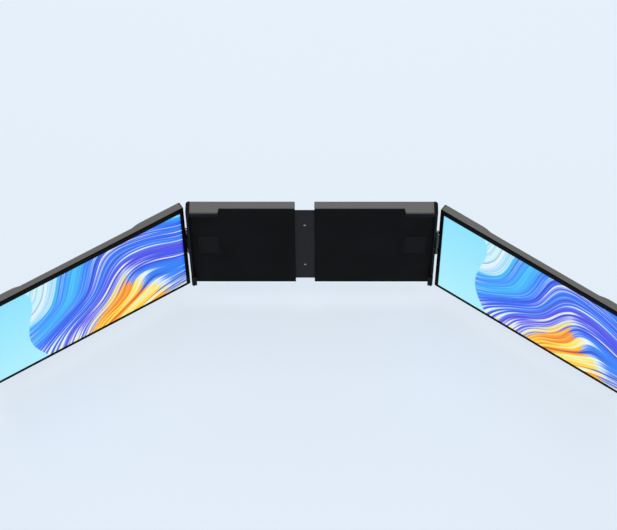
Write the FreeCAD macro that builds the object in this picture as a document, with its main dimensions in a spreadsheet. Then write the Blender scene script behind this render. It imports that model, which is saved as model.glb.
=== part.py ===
import FreeCAD, Part
import Sketcher
import os

# Screen extender: two side monitors hinged on a two-arm bracket that widens
# along rails and hangs by a slot on the top edge of an upright flat panel.
# Frame: X to the right seen from the front, Y to the back, Z up.
# Origin: middle of the slot along X and Y, on the seat that carries the weight.

table = [
    # bracket, seen from the front
    ("outerHalf", 155.65, "origin to the outer side of either arm"),
    ("endWall", 3.0, "thickness of the side walls at the slot's ends"),
    ("endBand", 4.6, "width of the end frame's band on the top and rear"),
    ("leftArmLength", 134.6, "left arm, outer side to inner end"),
    ("rightArmLength", 152.4, "right arm, outer side to inner end"),
    ("bracketTop", 6.8, "slot seat up to the top face"),
    ("bracketDrop", 173.0, "slot seat down to the arms' lower end"),
    ("cornerRound", 4.0, "rounding of the outer rear edges"),
    ("frontChamfer", 1.0, "chamfer along the outer front edges"),
    # bracket, front to back
    ("slotDepth", 5.0, "clear depth between lips and front plate"),
    ("lipThickness", 2.3, "front lips"),
    ("frontPlateWall", 1.2, "plate behind the slot"),
    ("coverDepth", 9.7, "front plate's face to the rear face"),
    ("coverWall", 1.8, "rear cover's walls"),
    # hooks and lips
    ("hookReach", 41.0, "hook block, outer side to inner end"),
    ("hookSlant", 1.5, "slant of the hook block's inner end"),
    ("hookDrop", 2.6, "upper lip below the slot seat"),
    ("seatPad", 0.8, "rubber pad on the slot seat"),
    ("gripPad", 0.4, "rubber pads on lips and front plate"),
    ("gripPadWidth", 26.0, "length of the pads along the hook"),
    ("gripPadInset", 1.2, "pad edges in from the face that carries them"),
    ("backPadHeight", 40.0, "pad on the front plate"),
    ("backPadTop", 60.0, "slot seat down to that pad"),
    ("lowerLipWidth", 6.5, "lower lip, from the outer side"),
    ("lowerLipHeight", 21.0, "lower lip"),
    ("lowerLipRise", 2.0, "arm's lower end up to the lower lip"),
    ("notchHeight", 12.0, "notch in the column above the lower lip"),
    ("notchDepth", 1.3, "how deep that notch goes"),
    ("seatGap", 0.2, "seat pad's long edges to the lip's pad and the front plate"),
    ("footChamfer", 2.4, "chamfer at the column's outer foot"),
    # centre plate, rails and channels
    ("plateCentre", -8.9, "middle of the centre plate along X"),
    ("plateLength", 194.0, "centre plate"),
    ("plateTop", 3.6, "slot seat down to the plate's top edge"),
    ("plateHeight", 162.0, "centre plate"),
    ("plateThickness", 2.4, "centre plate"),
    ("plateRound", 6.0, "corner radius of the centre plate"),
    ("slideClearance", 0.15, "gap between sliding faces"),
    ("windowLength", 58.0, "each of the two lightening windows in the plate"),
    ("windowHeight", 52.0, "each of the two lightening windows in the plate"),
    ("windowWeb", 36.0, "web between the two windows"),
    ("railDrop", 36.0, "slot seat down to the upper rail"),
    ("railSpacing", 96.0, "upper rail to lower rail"),
    ("railStem", 1.2, "rail's stem, front to back"),
    ("railStemWidth", 6.0, "rail's stem"),
    ("railFlange", 1.2, "rail's flange, front to back"),
    ("railFlangeWidth", 11.0, "rail's flange"),
    ("railInset", 2.0, "plate end to rail end"),
    ("channelWall", 1.4, "walls of the rail channels"),
    ("channelLength", 98.0, "rail channels"),
    ("channelInset", 2.0, "arm's inner end to the channel's end"),
    ("glideLength", 12.0, "nylon glides in the channels"),
    ("glideClearance", 0.05, "glide to rail"),
    ("rivetRadius", 1.5, "flush rivets that hold the rails"),
    ("rivetInset", 8.0, "rail's end to its outer rivets"),
    # cover screws
    ("screwRadius", 1.1, "shank of the cover screws"),
    ("screwHead", 2.1, "head radius of the cover screws"),
    ("screwFit", 0.05, "screw to its hole"),
    ("bossHalf", 3.0, "half the side of the square screw bosses"),
    ("bossInner", 25.5, "outer side to the inner screws"),
    ("bossOuter", 11.0, "outer side to the outer screws"),
    ("bossUpper", 26.0, "slot seat down to the upper screws"),
    ("bossLower", 150.0, "slot seat down to the lower screws"),
    # screens
    ("viewLength", 276.0, "visible picture"),
    ("viewHeight", 170.0, "visible picture"),
    ("viewSide", 5.5, "picture to the case's hinge edge and free edge"),
    ("viewDrop", 9.0, "case's top face down to the picture"),
    ("viewChin", 6.0, "picture down to the case's lower face"),
    ("screenTop", 0.9, "slot seat up to the case's top face"),
    ("screenEnd", 10.5, "case thickness at its two end blocks"),
    ("screenMiddle", 8.0, "case thickness between them"),
    ("hingeBlock", 57.0, "length of the block at the hinge edge"),
    ("freeBlock", 51.0, "length of the block at the free edge"),
    ("blockSlope", 12.0, "length of the slopes between block and middle"),
    ("caseWall", 1.4, "walls of the screen case"),
    ("caseCorner", 1.6, "corner radius of the case seen from the front"),
    ("caseEdge", 1.0, "bevel of the case's rear edges"),
    ("bezelThickness", 1.2, "front frame, which covers the case's front"),
    ("bezelBevel", 0.8, "bevel of the front frame's outer edge"),
    ("glassRecess", 0.3, "display glass behind the front frame's face"),
    ("glassFit", 0.2, "glass to the front frame's window"),
    ("panelMargin", 1.2, "display panel beyond the picture, each side"),
    ("panelThickness", 2.8, "display panel behind the glass"),
    ("boardLength", 40.0, "driver board along X"),
    ("boardHeight", 120.0, "driver board"),
    ("boardThickness", 1.2, "driver board"),
    ("boardGap", 0.3, "display panel to the driver board"),
    ("boardEdge", 1.7, "case's free edge to the board"),
    ("boardRise", 15.0, "case's lower face up to the board"),
    ("postHalf", 2.2, "half the side of the posts that carry the board"),
    ("postInset", 5.0, "board's edges to its posts"),
    ("portDepth", 7.0, "sockets on the free edge"),
    ("socketWidth", 9.2, "USB-C socket"),
    ("socketThick", 3.2, "USB-C socket"),
    ("socketWall", 0.35, "sheet of the sockets"),
    ("firstSocket", 57.0, "case's lower face up to the upper USB-C socket"),
    ("socketPitch", 15.0, "between the two USB-C sockets"),
    ("wideSocketWidth", 11.4, "mini HDMI socket"),
    ("wideSocketRise", 29.0, "case's lower face up to the mini HDMI socket"),
    ("portFit", 0.1, "sockets to their cut-outs"),
    ("socketFloor", 1.0, "rear wall of the sockets"),
    ("tongueThick", 0.7, "contact tongue of the sockets"),
    ("tongueInset", 1.4, "socket's ends to its tongue"),
    ("buttonHeight", 9.0, "buttons along Z"),
    ("buttonThick", 2.6, "buttons across the edge"),
    ("buttonStand", 0.6, "how far a button stands out"),
    ("buttonTravel", 0.4, "how far a button goes in"),
    ("buttonGap", 0.2, "button to its cut-out"),
    ("powerRise", 89.0, "case's lower face up to the power button"),
    ("menuRise", 75.0, "case's lower face up to the menu button"),
    ("speakerLength", 30.0, "speaker box in the hinge block"),
    ("shortSpeaker", 22.0, "speaker box in the free block"),
    ("speakerInset", 18.0, "case's hinge edge to its speaker box"),
    ("speakerGap", 1.0, "speaker boxes to the case's lower wall"),
    ("speakerHeight", 12.0, "speaker boxes"),
    ("speakerThick", 3.2, "speaker boxes"),
    # hinges
    ("hingeHeight", 52.0, "whole knuckle"),
    ("middleKnuckle", 25.4, "knuckle on the screen's leaf"),
    ("knuckleGap", 0.3, "between knuckles along the pin"),
    ("pinRadius", 1.0, "hinge pins"),
    ("pinFit", 0.05, "running fit on the pin, radial"),
    ("leafThickness", 1.6, "hinge leaves"),
    ("leafLength", 24.0, "leaf inside the case"),
    ("leafBend", 1.1, "half width of the left leaf's slanted part"),
    ("rearPinOut", 3.05, "left pin beyond the arm's outer side"),
    ("rearPinBehind", 3.25, "left pin behind the arm's rear face"),
    ("rearBarrel", 2.4, "left barrel radius"),
    ("rearReach", 4.5, "left pin to the case's edge, screen straight"),
    ("rearAhead", 8.0, "left screen's face ahead of its pin, screen straight"),
    ("rearHingeDrop", 91.0, "slot seat down to the left hinge's middle"),
    ("frontPinOut", 1.25, "right pin beyond the arm's outer side"),
    ("frontPinBehind", 4.2, "right pin behind the lips' face"),
    ("frontBarrel", 1.9, "right barrel radius"),
    ("frontReach", -0.9, "right pin to the case's edge, screen straight"),
    ("frontBehind", 4.6, "right screen's face behind its pin, screen straight"),
    ("frontHingeDrop", 70.0, "slot seat down to the right hinge's middle"),
    ("recessDepth", 1.6, "recess in the right column for its hinge"),
    ("recessBack", 13.5, "lips' face back to the recess's end"),
    ("past", 1.0, "how far cutting shapes run past a face"),
    ("leftTurn", 31.8, "left screen's turn to the front at rest"),
    ("rightTurn", 34.9, "right screen's turn to the front at rest"),
]


class Size:
    # a length that knows its formula over the sheet and its present value
    def __init__(self, text, value):
        self.text = text
        self.value = value

    def join(self, other, sign, value):
        return Size(f"({self.text} {sign} {size(other).text})", value)

    def __add__(self, other):
        return self.join(other, "+", self.value + size(other).value)

    def __sub__(self, other):
        return self.join(other, "-", self.value - size(other).value)

    def __mul__(self, other):
        return self.join(other, "*", self.value * size(other).value)

    def __truediv__(self, other):
        return self.join(other, "/", self.value / size(other).value)

    def __neg__(self):
        return Size(f"(0 - {self.text})", -self.value)


def size(number):
    if isinstance(number, Size):
        return number
    return Size(f"({float(number)!r})", float(number))


class Sheet:
    # the driving dimensions, one row each: name, number, meaning
    def __init__(self, doc, rows):
        self.cells = doc.addObject("Spreadsheet::Sheet", "Sizes")
        for i, (name, number, meaning) in enumerate(rows, 1):
            self.cells.set(f"A{i}", name)
            self.cells.set(f"B{i}", str(number))
            self.cells.setAlias(f"B{i}", name)
            self.cells.set(f"C{i}", meaning)
            setattr(self, name, Size(f"Sizes.{name}", float(number)))


doc = FreeCAD.newDocument("ScreenExtender")
d = Sheet(doc, table)
doc.recompute()
made = []


# general helpers

def bind(thing, name, length):
    thing.setExpression(name, size(length).text)


def place(thing, x, y, z):
    for axis, length in zip("xyz", (x, y, z)):
        bind(thing, f"Placement.Base.{axis}", length)


def out(side, a, b):
    # a stretch of X measured outwards on one side, as low and high ends
    return (size(a), size(b)) if side > 0 else (-size(b), -size(a))


def at(side, a):
    return size(a) if side > 0 else -size(a)


def box(name, x, y, z):
    block = doc.addObject("Part::Box", name)
    for prop, (low, high) in zip(("Length", "Width", "Height"), (x, y, z)):
        bind(block, prop, size(high) - low)
    place(block, x[0], y[0], z[0])
    return block


turns = {
    "x": FreeCAD.Rotation(FreeCAD.Vector(0, 1, 0), 90),
    "y": FreeCAD.Rotation(FreeCAD.Vector(1, 0, 0), -90),
    "z": FreeCAD.Rotation(),
}


def rod(name, axis, start, radius, length):
    # a cylinder from start along the positive axis
    bar = doc.addObject("Part::Cylinder", name)
    bar.Placement = FreeCAD.Placement(FreeCAD.Vector(), turns[axis])
    bind(bar, "Radius", radius)
    bind(bar, "Height", length)
    place(bar, *start)
    return bar


def taper(name, axis, start, first, last, length):
    cone = doc.addObject("Part::Cone", name)
    cone.Placement = FreeCAD.Placement(FreeCAD.Vector(), turns[axis])
    bind(cone, "Radius1", first)
    bind(cone, "Radius2", last)
    bind(cone, "Height", length)
    place(cone, *start)
    return cone


def fuse(name, things):
    if len(things) == 1:
        return things[0]
    whole = doc.addObject("Part::MultiFuse", name)
    whole.Shapes = things
    whole.Refine = True
    return whole


def cut(name, base, tools):
    left = doc.addObject("Part::Cut", name)
    left.Base = base
    left.Tool = fuse(name + "Tools", tools)
    left.Refine = True
    return left


def group(name, things):
    # separate solids of one kind kept as one node
    whole = doc.addObject("Part::Compound", name)
    whole.Links = things
    return whole


def node(label, thing):
    thing.Label = label
    made.append(thing)
    return thing


def sketch(body, role, offset, loops):
    # closed outlines on one of the body's origin planes; each corner is
    # bound to the sheet, and a loop of three sizes is a circle
    plane = [f for f in body.Origin.OriginFeatures if f.Role == role][0]
    drawing = body.newObject("Sketcher::SketchObject", body.Name + "Sketch")
    drawing.AttachmentSupport = [(plane, "")]
    drawing.MapMode = "FlatFace"
    bind(drawing, "AttachmentOffset.Base.z", offset)
    for loop in loops:
        if isinstance(loop[0], Size):
            circle(drawing, *loop)
        else:
            outline(drawing, [(size(u), size(v)) for u, v in loop])
    return drawing


def tie(drawing, kind, index, point, length):
    number = drawing.addConstraint(Sketcher.Constraint(kind, index, point, length.value))
    drawing.setExpression(f"Constraints[{number}]", length.text)


def outline(drawing, corners):
    first = drawing.GeometryCount
    count = len(corners)
    for i in range(count):
        a, b = corners[i], corners[(i + 1) % count]
        start = FreeCAD.Vector(a[0].value, a[1].value, 0)
        end = FreeCAD.Vector(b[0].value, b[1].value, 0)
        drawing.addGeometry(Part.LineSegment(start, end), False)
    for i in range(count):
        after = first + (i + 1) % count
        drawing.addConstraint(Sketcher.Constraint("Coincident", first + i, 2, after, 1))
    for i, (u, v) in enumerate(corners):
        tie(drawing, "DistanceX", first + i, 1, u)
        tie(drawing, "DistanceY", first + i, 1, v)


def circle(drawing, u, v, radius):
    middle = FreeCAD.Vector(u.value, v.value, 0)
    normal = FreeCAD.Vector(0, 0, 1)
    index = drawing.addGeometry(Part.Circle(middle, normal, radius.value), False)
    tie(drawing, "DistanceX", index, 3, u)
    tie(drawing, "DistanceY", index, 3, v)
    number = drawing.addConstraint(Sketcher.Constraint("Radius", index, radius.value))
    drawing.setExpression(f"Constraints[{number}]", radius.text)


def solid(name):
    return doc.addObject("PartDesign::Body", name)


def pad(body, role, offset, loops, length, flip=False):
    grown = body.newObject("PartDesign::Pad", body.Name + "Pad")
    grown.Profile = sketch(body, role, offset, loops)
    bind(grown, "Length", length)
    grown.Reversed = flip
    return grown


def pocket(body, role, offset, loops, length, flip=False):
    before = body.Shape.Volume
    sunk = body.newObject("PartDesign::Pocket", body.Name + "Pocket")
    sunk.Profile = sketch(body, role, offset, loops)
    bind(sunk, "Length", length)
    sunk.Reversed = flip
    doc.recompute()
    if not body.Shape.Volume < before:
        raise RuntimeError(f"{sunk.Name} cuts nothing")
    return sunk


def dress(body, kind, length, chosen):
    # fillet or chamfer on the edges that the test picks
    doc.recompute()
    tip = body.Tip
    names = [f"Edge{i}" for i, edge in enumerate(tip.Shape.Edges, 1) if chosen(edge)]
    if not names:
        raise RuntimeError(f"no edge for {kind} on {body.Name}")
    edged = body.newObject(f"PartDesign::{kind}", body.Name + kind)
    edged.Base = (tip, names)
    bind(edged, "Radius" if kind == "Fillet" else "Size", length)
    doc.recompute()
    return edged


def along(edge, axis):
    if not isinstance(edge.Curve, Part.Line):
        return False
    return abs(getattr(edge.Curve.Direction, axis)) > 0.999


def near(edge, axis, length):
    return abs(getattr(edge.CenterOfMass, axis) - size(length).value) < 0.02


def rect(x, z):
    return [(x[0], z[0]), (x[1], z[0]), (x[1], z[1]), (x[0], z[1])]


# places shared by several pieces

lipBack = -(d.slotDepth / 2)
lipFace = lipBack - d.lipThickness
plateFace = d.slotDepth / 2
plateBack = plateFace + d.frontPlateWall
rearFace = plateFace + d.coverDepth
rearInside = rearFace - d.coverWall
topInside = d.bracketTop - d.coverWall
foot = -d.bracketDrop
wallInside = d.outerHalf - d.endWall
bandInside = d.outerHalf - d.endBand
centreFace = plateBack + d.slideClearance
centreBack = centreFace + d.plateThickness
stemBack = centreBack + d.railStem
flangeBack = stemBack + d.railFlange
channelSide = d.railFlangeWidth / 2 + d.slideClearance
screwHeadDepth = d.screwHead - d.screwRadius
railLevels = {"upper": -d.railDrop, "lower": -(d.railDrop + d.railSpacing)}


# centre: plate and two rails on which both arms slide

def centrePlate():
    body = solid("CentrePlate")
    low = d.plateCentre - d.plateLength / 2
    high = d.plateCentre + d.plateLength / 2
    top = -d.plateTop
    bottom = top - d.plateHeight
    pad(body, "XZ_Plane", -centreFace, [rect((low, high), (bottom, top))], d.plateThickness, True)
    dress(body, "Fillet", d.plateRound, lambda e: along(e, "y"))
    middle = -(d.railDrop + d.railSpacing / 2)
    levels = (middle - d.windowHeight / 2, middle + d.windowHeight / 2)
    near_x = d.windowWeb / 2
    far_x = near_x + d.windowLength
    windows = [rect((d.plateCentre - far_x, d.plateCentre - near_x), levels),
               rect((d.plateCentre + near_x, d.plateCentre + far_x), levels)]
    pocket(body, "XZ_Plane", -centreFace, windows, d.plateThickness * 2)
    dress(body, "Fillet", d.plateRound, lambda e: along(e, "y") and (
        near(e, "z", levels[0]) or near(e, "z", levels[1])))
    holes = [(x, z, d.rivetRadius + d.screwFit) for x, z in rivetPlaces()]
    pocket(body, "XZ_Plane", -centreFace, holes, d.plateThickness * 2)
    node("centre_plate", body)


def rivetPlaces():
    reach = d.plateLength / 2 - d.railInset - d.rivetInset
    return [(d.plateCentre + reach * k, level) for level in railLevels.values() for k in (-1, 0, 1)]


def rail(which):
    level = railLevels[which]
    body = solid("Rail" + which.title())
    low = d.plateCentre - d.plateLength / 2 + d.railInset
    stem, flange = d.railStemWidth / 2, d.railFlangeWidth / 2
    shape = [(centreBack, level - stem), (stemBack, level - stem), (stemBack, level - flange),
             (flangeBack, level - flange), (flangeBack, level + flange), (stemBack, level + flange),
             (stemBack, level + stem), (centreBack, level + stem)]
    pad(body, "YZ_Plane", low, [shape], d.plateLength - d.railInset * 2)
    doc.recompute()
    holes = [(x, z, d.rivetRadius + d.screwFit) for x, z in rivetPlaces() if z is level]
    pocket(body, "XZ_Plane", -centreBack, holes, d.railStem + d.railFlange * 2)
    node(f"slide_rail_{which}", body)


def rivets():
    length = flangeBack - centreFace
    rods = [rod(f"Rivet{i}", "y", (x, centreFace, z), d.rivetRadius, length)
            for i, (x, z) in enumerate(rivetPlaces())]
    node("rail_rivets", group("RailRivets", rods))


# one arm of the bracket: side is -1 on the left and 1 on the right

def armInner(side):
    return d.outerHalf - (d.leftArmLength if side < 0 else d.rightArmLength)


def bossPlaces(side):
    return [(at(side, d.outerHalf - x), -z)
            for x in (d.bossInner, d.bossOuter) for z in (d.bossUpper, d.bossLower)]


def backCover(side, name):
    body = solid(name + "BackCover")
    inner = armInner(side)
    x = out(side, inner, bandInside)
    shape = [(plateFace, topInside), (plateFace, d.bracketTop), (rearFace, d.bracketTop), (rearFace, foot),
             (plateBack, foot), (plateBack, foot + d.coverWall), (rearInside, foot + d.coverWall),
             (rearInside, topInside)]
    pad(body, "YZ_Plane", x[0], [shape], x[1] - x[0])
    deck = [(at(side, d.outerHalf - d.hookReach), plateFace), (at(side, bandInside), plateFace),
            (at(side, bandInside), lipFace), (at(side, d.outerHalf - d.hookReach + d.hookSlant), lipFace)]
    pad(body, "XY_Plane", topInside, [deck], d.coverWall)
    dress(body, "Fillet", d.coverWall / 2, lambda e: along(e, "x") and near(e, "y", rearFace) and (
        near(e, "z", d.bracketTop) or near(e, "z", foot)))
    holes = [(x, z, d.screwRadius + d.screwFit) for x, z in bossPlaces(side)]
    pocket(body, "XZ_Plane", -rearInside, holes, d.coverWall * 2)
    sinks = []
    for i, (x, z) in enumerate(bossPlaces(side)):
        sinks.append(taper(f"{name}CoverSink{i}", "y", (x, rearFace - screwHeadDepth, z),
                           d.screwRadius + d.screwFit, d.screwHead + d.screwFit, screwHeadDepth))
    node(f"{name}_back_cover", cut(name + "CoverWithSinks", body, sinks))


def coverScrews(side, name):
    screws = []
    for i, (x, z) in enumerate(bossPlaces(side)):
        start = plateBack + d.frontPlateWall
        under = rearFace - screwHeadDepth
        shank = rod(f"{name}ScrewShank{i}", "y", (x, start, z), d.screwRadius, under - start)
        head = taper(f"{name}ScrewHead{i}", "y", (x, under, z), d.screwRadius, d.screwHead, screwHeadDepth)
        screws.append(fuse(f"{name}Screw{i}", [shank, head]))
    node(f"{name}_cover_screws", group(name + "CoverScrews", screws))


def frontPlate(side, name):
    body = solid(name + "FrontPlate")
    x = out(side, armInner(side), wallInside)
    pad(body, "XZ_Plane", -plateFace, [rect(x, (foot, topInside))], d.frontPlateWall, True)
    doc.recompute()
    half = d.bossHalf
    bosses = [rect((u - half, u + half), (v - half, v + half)) for u, v in bossPlaces(side)]
    pad(body, "XZ_Plane", -plateBack, bosses, rearInside - plateBack, True)
    doc.recompute()
    holes = [(u, v, d.screwRadius + d.screwFit) for u, v in bossPlaces(side)]
    pocket(body, "XZ_Plane", -(plateBack + d.frontPlateWall), holes, rearInside - plateBack)
    node(f"{name}_front_plate", body)


def endFrame(side, name):
    # the column at the slot's end, with its rounded rear edge, the lower lip,
    # the notch over it and the seat of the hinge
    body = solid(name + "EndFrame")
    o = d.outerHalf
    shape = [(at(side, wallInside), lipFace), (at(side, o), lipFace), (at(side, o), rearFace),
             (at(side, bandInside), rearFace), (at(side, bandInside), rearInside), (at(side, wallInside), rearInside)]
    pad(body, "XY_Plane", foot, [shape], d.bracketTop + d.bracketDrop)
    band = [(at(side, bandInside), lipFace), (at(side, wallInside), lipFace),
            (at(side, wallInside), rearInside), (at(side, bandInside), rearInside)]
    pad(body, "XY_Plane", topInside, [band], d.coverWall)
    lipLow = foot + d.lowerLipRise
    lip = [(at(side, o - d.lowerLipWidth), lipFace), (at(side, wallInside), lipFace),
           (at(side, wallInside), lipBack), (at(side, o - d.lowerLipWidth), lipBack)]
    pad(body, "XY_Plane", lipLow, [lip], d.lowerLipHeight)
    doc.recompute()
    notchLow = lipLow + d.lowerLipHeight
    notch = rect(out(side, wallInside - d.past, o + d.past), (notchLow, notchLow + d.notchHeight))
    pocket(body, "XZ_Plane", -lipFace, [notch], d.notchDepth)
    dress(body, "Fillet", d.cornerRound, lambda e: along(e, "z") and near(e, "x", at(side, o)) and (
        near(e, "y", rearFace)))
    dress(body, "Chamfer", d.frontChamfer, lambda e: along(e, "z") and near(e, "x", at(side, o)) and (
        e.CenterOfMass.y < lipBack.value))
    slant = [(at(side, o - d.footChamfer), foot), (at(side, o), foot + d.footChamfer),
             (at(side, o), foot - d.past), (at(side, o - d.footChamfer), foot - d.past)]
    pocket(body, "XZ_Plane", -lipFace, [slant], d.coverDepth * 2)
    if side < 0:
        half = d.hingeHeight / 2 + d.portFit
        slot = box(name + "LeafSlot", out(side, bandInside - d.past, o + d.past),
                   (rearInside - d.leafThickness - d.portFit, rearInside),
                   (-(d.rearHingeDrop + half), -(d.rearHingeDrop - half)))
        frame = cut(name + "FrameWithSlot", body, [slot])
    else:
        half = d.hingeHeight / 2 + d.knuckleGap
        recess = box(name + "HingeRecess", (o - d.recessDepth, o + d.past),
                     (lipFace - d.past, lipFace + d.recessBack),
                     (-(d.frontHingeDrop + half), -(d.frontHingeDrop - half)))
        frame = cut(name + "FrameWithRecess", body, [recess])
    node(f"{name}_end_frame", frame)


def hook(side, name):
    # block that reaches over the slot, with the upper front lip
    body = solid(name + "Hook")
    x = out(side, d.outerHalf - d.hookReach + d.hookSlant, wallInside)
    under = d.seatPad
    shape = [(lipFace, topInside), (plateFace, topInside), (plateFace, under), (lipBack, under),
             (lipBack, -d.hookDrop), (lipFace, -d.hookDrop)]
    pad(body, "YZ_Plane", x[0], [shape], x[1] - x[0])
    dress(body, "Chamfer", d.frontChamfer / 2, lambda e: along(e, "x") and near(e, "z", -d.hookDrop))
    node(f"{name}_hook", body)


def gripPads(side, name):
    o = d.outerHalf
    start = o - d.hookReach + d.hookSlant + d.gripPadInset
    along_x = out(side, start, start + d.gripPadWidth)
    foot_low = foot + d.lowerLipRise + d.gripPadInset
    pads = [
        box(name + "SeatPad", along_x, (lipBack + d.gripPad + d.seatGap, plateFace - d.seatGap),
            (0, d.seatPad)),
        box(name + "LipPad", along_x, (lipBack, lipBack + d.gripPad),
            (-(d.hookDrop - d.frontChamfer / 2), 0)),
        box(name + "LowerPad", out(side, o - d.lowerLipWidth + d.gripPadInset / 2, wallInside),
            (lipBack, lipBack + d.gripPad), (foot_low, foot_low + d.lowerLipHeight - d.gripPadInset * 2)),
        box(name + "BackPad", along_x, (plateFace - d.gripPad, plateFace),
            (-(d.backPadTop + d.backPadHeight), -d.backPadTop)),
    ]
    node(f"{name}_grip_pads", group(name + "GripPads", pads))


def channel(side, name, which):
    level = railLevels[which]
    body = solid(f"{name}Channel{which.title()}")
    start = armInner(side) + d.channelInset
    x = out(side, start, start + d.channelLength)
    inside, outside = channelSide, channelSide + d.channelWall
    stem = d.railStemWidth / 2 + d.slideClearance
    lipFront = centreBack + d.slideClearance
    lipRear = stemBack - d.slideClearance
    web = rearInside - d.channelWall
    shape = [(lipFront, level + stem), (lipFront, level + outside), (rearInside, level + outside),
             (rearInside, level - outside), (lipFront, level - outside), (lipFront, level - stem),
             (lipRear, level - stem), (lipRear, level - inside), (web, level - inside),
             (web, level + inside), (lipRear, level + inside), (lipRear, level + stem)]
    pad(body, "YZ_Plane", x[0], [shape], d.channelLength)
    node(f"{name}_channel_{which}", body)


def glides(side, name):
    # nylon strips that give the slide its drag, two in each channel
    strips = []
    start = armInner(side) + d.channelInset
    web = rearInside - d.channelWall
    for which, level in railLevels.items():
        for i, first in enumerate((start, start + d.channelLength / 3)):
            x = out(side, first, first + d.glideLength)
            strips.append(box(f"{name}Glide{which}{i}", x, (flangeBack + d.glideClearance, web),
                              (level - d.railFlangeWidth / 3, level + d.railFlangeWidth / 3)))
    node(f"{name}_glides", group(name + "Glides", strips))


# hinges

def barrel(name, x, y, radius, low, high, bore):
    tube = rod(name + "Tube", "z", (x, y, low), radius, high - low)
    hole = rod(name + "Bore", "z", (x, y, low - d.past), bore, high - low + d.past * 2)
    return tube, hole


def pinBore(name, px, py, levels):
    return rod(name + "FixedBore", "z", (px, py, levels["bottom"][0] - d.past), d.pinRadius + d.screwFit,
               d.hingeHeight + d.past * 2)


def hingeLevels(drop):
    middle = -drop
    half, inner = d.hingeHeight / 2, d.middleKnuckle / 2
    return {
        "bottom": (middle - half, middle - inner - d.knuckleGap),
        "middle": (middle - inner, middle + inner),
        "top": (middle + inner + d.knuckleGap, middle + half),
    }


def rearPin(side):
    return at(side, d.outerHalf + d.rearPinOut), rearFace + d.rearPinBehind


def frontPin(side):
    return at(side, d.outerHalf + d.frontPinOut), lipFace + d.frontPinBehind


def fixedHingeRear(side, name):
    # leaf inside the arm, through the column's slot, bent out to the pin
    px, py = rearPin(side)
    levels = hingeLevels(d.rearHingeDrop)
    body = solid(name + "FixedLeaf")
    back = rearInside - d.portFit / 2
    front = back - d.leafThickness
    o = d.outerHalf
    turn = d.leafBend
    shape = [(at(side, o - d.leafLength), front), (at(side, o + turn), front),
             (at(side, o + d.rearPinOut + turn), py - turn), (at(side, o + d.rearPinOut - turn), py + turn),
             (at(side, o), back), (at(side, o - d.leafLength), back)]
    pad(body, "XY_Plane", levels["bottom"][0], [shape], d.hingeHeight)
    parts, holes = [body], []
    for key in ("bottom", "top"):
        parts.append(barrel(name + "Fixed" + key, px, py, d.rearBarrel, *levels[key], d.pinRadius)[0])
    holes.append(pinBore(name, px, py, levels))
    gap = levels["middle"]
    holes.append(box(name + "FixedGap", out(side, o + d.knuckleGap, o + d.rearPinOut + d.rearBarrel * 2),
                     (front - d.past, py + d.rearBarrel * 2), (gap[0] - d.knuckleGap, gap[1] + d.knuckleGap)))
    whole = fuse(name + "FixedLeafAndKnuckles", parts)
    node(f"{name}_hinge_fixed_leaf", cut(name + "FixedHinge", whole, holes))


def fixedHingeFront(side, name):
    # leaf let into the column's recess, with the pin at its front edge
    px, py = frontPin(side)
    levels = hingeLevels(d.frontHingeDrop)
    o = d.outerHalf
    seat = o - d.recessDepth
    leaf = box(name + "FixedLeaf", out(side, seat, o), (py, lipFace + d.recessBack - d.portFit),
               (levels["bottom"][0], levels["top"][1]))
    parts, holes = [leaf], []
    for key in ("bottom", "top"):
        parts.append(barrel(name + "Fixed" + key, px, py, d.frontBarrel, *levels[key], d.pinRadius)[0])
    holes.append(pinBore(name, px, py, levels))
    gap = levels["middle"]
    holes.append(box(name + "FixedGap", out(side, seat - d.past, o + d.frontPinOut + d.frontBarrel * 2),
                     (py - d.frontBarrel * 2, py + d.frontBarrel + d.knuckleGap * 4),
                     (gap[0] - d.knuckleGap, gap[1] + d.knuckleGap)))
    whole = fuse(name + "FixedLeafAndKnuckles", parts)
    node(f"{name}_hinge_fixed_leaf", cut(name + "FixedHinge", whole, holes))


def hingePin(side, name, where, drop):
    px, py = where
    levels = hingeLevels(drop)
    pin = rod(name + "Pin", "z", (px, py, levels["bottom"][0]), d.pinRadius, d.hingeHeight)
    node(f"{name}_hinge_pin", pin)


# a screen, modelled straight out from its pin, which is its own origin,
# and then turned to its angle at rest

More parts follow.
